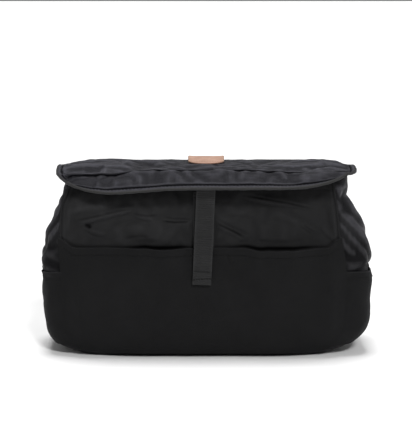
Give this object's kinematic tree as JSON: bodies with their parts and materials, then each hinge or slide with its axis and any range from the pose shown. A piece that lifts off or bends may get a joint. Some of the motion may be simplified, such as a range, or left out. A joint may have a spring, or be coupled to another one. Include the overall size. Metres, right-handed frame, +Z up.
{
  "type": "messenger bag",
  "caption": "Black fabric messenger bag with fold-over flap, front slip pocket, webbing closure strap and shoulder strap hanging behind.",
  "frame": {"origin": "centre of the flat base, on the surface the bag stands on", "axes": "+X is the bag's right seen from the front, +Y points to the wearer's back panel, +Z is up; the front faces -Y"},
  "size_m": [0.3576, 0.1781, 0.1988],
  "materials": {
    "waxed_cotton": "black waxed cotton canvas, soft creases, slight sheen",
    "pocket_cotton": "black tightly woven cotton, matt",
    "lining_cloth": "dark grey woven lining",
    "base_board": "dark grey stiffener board",
    "edge_binding": "black bias binding",
    "webbing": "black ribbed cotton webbing",
    "tan_leather": "tan vegetable-tanned leather, matt",
    "dark_metal": "gunmetal plated metal, satin",
    "slider_plastic": "black moulded plastic"
  },
  "bodies": {
    "bag": {"front_panel": "waxed_cotton", "back_panel": "waxed_cotton", "gusset_left": "waxed_cotton", "gusset_right": "waxed_cotton", "bottom_panel": "pocket_cotton", "base_board": "base_board", "lining": "lining_cloth", "front_pocket": "pocket_cotton", "pocket_hem": "pocket_cotton", "side_pocket_left": "pocket_cotton", "side_pocket_right": "pocket_cotton", "anchor_webbing": "webbing", "snap_socket": "dark_metal", "strap_tab_left": "webbing", "strap_tab_right": "webbing"},
    "flap": {"flap_top": "waxed_cotton", "flap_binding_left": "edge_binding", "flap_binding_right": "edge_binding", "leather_tag": "tan_leather"},
    "flap_lip_fold": {"flap_lip": "waxed_cotton", "flap_binding_front": "edge_binding"},
    "closure": {"closure_strap": "webbing", "snap_stud": "dark_metal"},
    "carry_strap": {"d_ring_left": "dark_metal", "d_ring_right": "dark_metal", "swivel_hook_left": "dark_metal", "swivel_hook_right": "dark_metal", "swivel_base_left": "dark_metal", "swivel_base_right": "dark_metal", "strap_end_left": "webbing", "strap_end_right": "webbing", "shoulder_strap": "webbing", "strap_return_layer": "webbing"},
    "slider": {"strap_slider": "slider_plastic"},
    "gate_left": {"hook_gate_left": "dark_metal"},
    "gate_right": {"hook_gate_right": "dark_metal"}
  },
  "joints": [
    {"name": "flap_hinge", "type": "hinge", "parent": "bag", "child": "flap", "pos_m": [0, 0.0565, 0.1935], "axis": [1, 0, 0], "range_deg": [-180, 0]},
    {"name": "lip_fold", "type": "hinge", "parent": "flap", "child": "flap_lip_fold", "pos_m": [0, -0.05, 0.1985], "axis": [-1, 0, 0], "range_deg": [0, 110]},
    {"name": "closure_strap_swing", "type": "hinge", "parent": "flap_lip_fold", "child": "closure", "pos_m": [0, -0.068, 0.183], "axis": [-1, 0, 0], "range_deg": [0, 75]},
    {"name": "shoulder_strap_swing", "type": "hinge", "parent": "bag", "child": "carry_strap", "pos_m": [0, 0.063, 0.16], "axis": [1, 0, 0], "range_deg": [0, 165]},
    {"name": "slider_travel", "type": "slide", "parent": "carry_strap", "child": "slider", "axis": [1, 0, 0], "range_m": [-0.04, 0.08]},
    {"name": "gate_left_press", "type": "hinge", "parent": "carry_strap", "child": "gate_left", "pos_m": [-0.132, 0.06798, 0.13542], "axis": [1, 0, 0], "range_deg": [0, 14], "stiffness_Nm_per_rad": 0.003},
    {"name": "gate_right_press", "type": "hinge", "parent": "carry_strap", "child": "gate_right", "pos_m": [0.132, 0.06798, 0.13542], "axis": [1, 0, 0], "range_deg": [0, 14], "stiffness_Nm_per_rad": 0.003}
  ]
}
